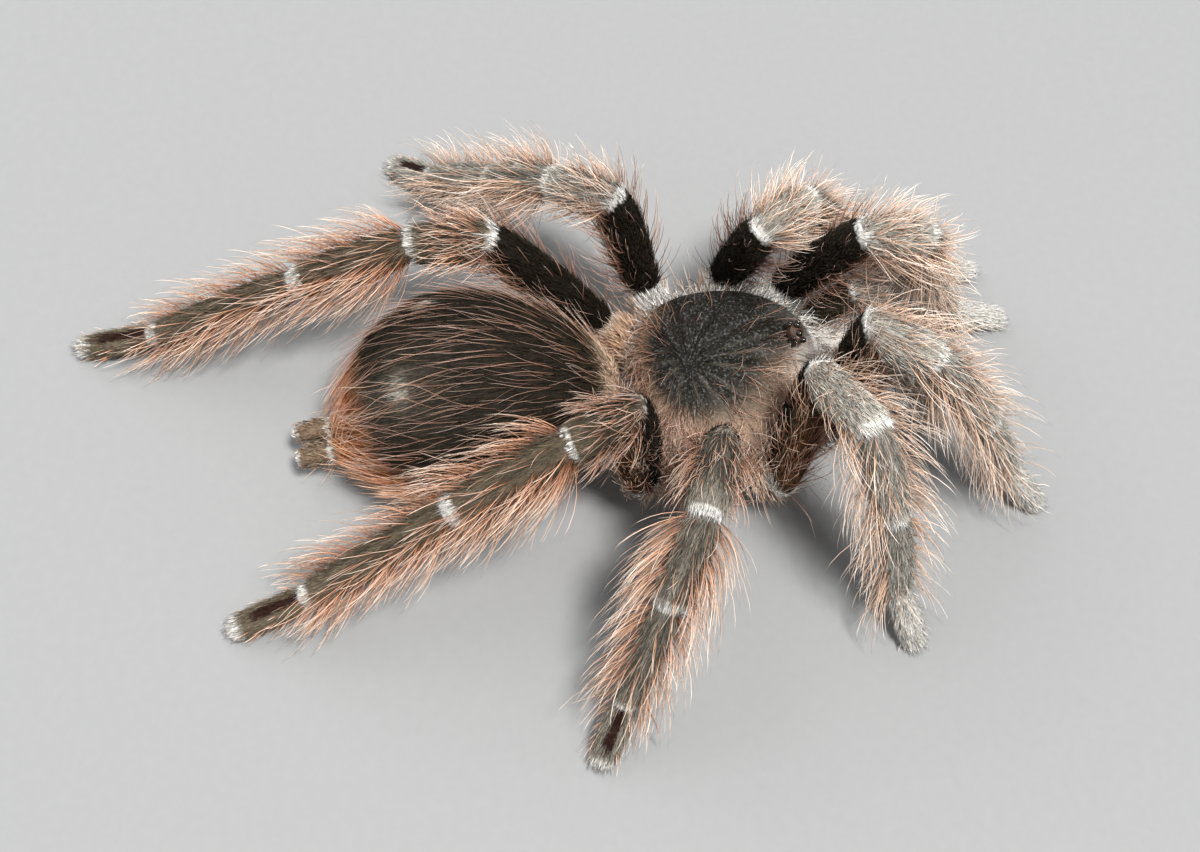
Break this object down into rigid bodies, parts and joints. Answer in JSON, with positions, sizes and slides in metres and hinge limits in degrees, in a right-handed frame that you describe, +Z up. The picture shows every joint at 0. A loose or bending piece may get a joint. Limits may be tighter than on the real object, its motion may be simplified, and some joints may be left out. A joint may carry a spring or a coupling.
{
  "type": "tarantula",
  "caption": "Life-size still model of a hairy ground-dwelling tarantula standing with its legs spread, dark velvety body, long salmon bristles and white joint bands.",
  "frame": {"origin": "centre of the model's footprint box, on the floor that the feet stand on", "axes": "-Y is the way the spider faces, +X its left side, +Z up"},
  "size_m": [0.0866, 0.1148, 0.0338],
  "materials": {
    "carapace_velvet": "short black velvet with pale grey and pinkish hair at the edges",
    "abdomen_velvet": "black velvet with long red-brown bristles",
    "under_coat": "matted red-brown hair",
    "femur_velvet": "short black velvet with long red-brown bristles",
    "shin_coat": "short grey-brown coat, long salmon bristles and white bands at the joints",
    "foot_pad": "dense olive-brown pad of short hair with a white tip",
    "chelicera_coat": "grey-brown hair",
    "spinneret_coat": "olive-brown down with white-edged joints",
    "fang_horn": "glossy black horn",
    "eye_lens": "clear glossy dark lens"
  },
  "bodies": {
    "root": {"leg_left_1_femur": "femur_velvet", "leg_left_1_patella": "shin_coat", "leg_left_1_tibia": "shin_coat", "leg_left_1_metatarsus": "shin_coat", "leg_left_1_tarsus": "foot_pad", "leg_left_2_femur": "femur_velvet", "leg_left_2_patella": "shin_coat", "leg_left_2_tibia": "shin_coat", "leg_left_2_metatarsus": "shin_coat", "leg_left_2_tarsus": "foot_pad", "leg_left_3_femur": "femur_velvet", "leg_left_3_patella": "shin_coat", "leg_left_3_tibia": "shin_coat", "leg_left_3_metatarsus": "shin_coat", "leg_left_3_tarsus": "foot_pad", "leg_left_4_femur": "femur_velvet", "leg_left_4_patella": "shin_coat", "leg_left_4_tibia": "shin_coat", "leg_left_4_metatarsus": "shin_coat", "leg_left_4_tarsus": "foot_pad", "palp_left_femur": "femur_velvet", "palp_left_patella": "shin_coat", "palp_left_tibia": "shin_coat", "palp_left_tarsus": "foot_pad", "leg_right_1_femur": "femur_velvet", "leg_right_1_patella": "shin_coat", "leg_right_1_tibia": "shin_coat", "leg_right_1_metatarsus": "shin_coat", "leg_right_1_tarsus": "foot_pad", "leg_right_2_femur": "femur_velvet", "leg_right_2_patella": "shin_coat", "leg_right_2_tibia": "shin_coat", "leg_right_2_metatarsus": "shin_coat", "leg_right_2_tarsus": "foot_pad", "leg_right_3_femur": "femur_velvet", "leg_right_3_patella": "shin_coat", "leg_right_3_tibia": "shin_coat", "leg_right_3_metatarsus": "shin_coat", "leg_right_3_tarsus": "foot_pad", "leg_right_4_femur": "femur_velvet", "leg_right_4_patella": "shin_coat", "leg_right_4_tibia": "shin_coat", "leg_right_4_metatarsus": "shin_coat", "leg_right_4_tarsus": "foot_pad", "palp_right_femur": "femur_velvet", "palp_right_patella": "shin_coat", "palp_right_tibia": "shin_coat", "palp_right_tarsus": "foot_pad", "carapace": "carapace_velvet", "sternum_and_coxae": "under_coat", "pedicel": "under_coat", "abdomen": "abdomen_velvet", "chelicera_left": "chelicera_coat", "fang_left": "fang_horn", "spinneret_left": "spinneret_coat", "eyes_left": "eye_lens", "chelicera_right": "chelicera_coat", "fang_right": "fang_horn", "spinneret_right": "spinneret_coat", "eyes_right": "eye_lens"}
  },
  "joints": []
}
